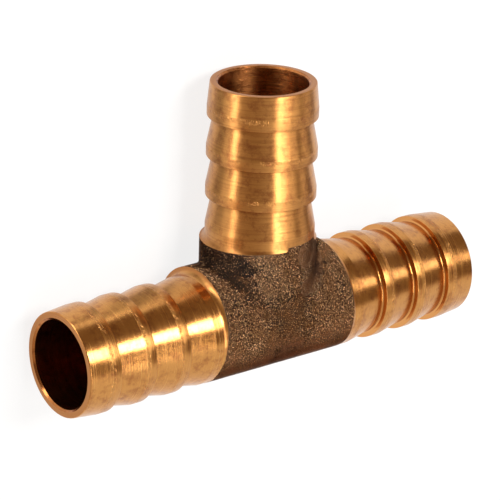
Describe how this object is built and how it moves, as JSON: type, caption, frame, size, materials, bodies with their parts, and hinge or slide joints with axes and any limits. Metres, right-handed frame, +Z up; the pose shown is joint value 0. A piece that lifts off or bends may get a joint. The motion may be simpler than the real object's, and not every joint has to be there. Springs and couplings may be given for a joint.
{
  "type": "hose tee",
  "caption": "Brass T-shaped hose connector with a forged body and a turned, bored, barbed end on each arm.",
  "frame": {"origin": "where the straight-through bore's axis and the branch bore's axis cross", "axes": "+X along the straight-through bore, +Y out of the branch, +Z up with the tee lying on its side"},
  "size_m": [0.07, 0.0435, 0.0171],
  "materials": {
    "brass": "turned and bored where bright, forged and blasted where brown"
  },
  "bodies": {
    "root": {"hose_tee": "brass"}
  },
  "joints": []
}
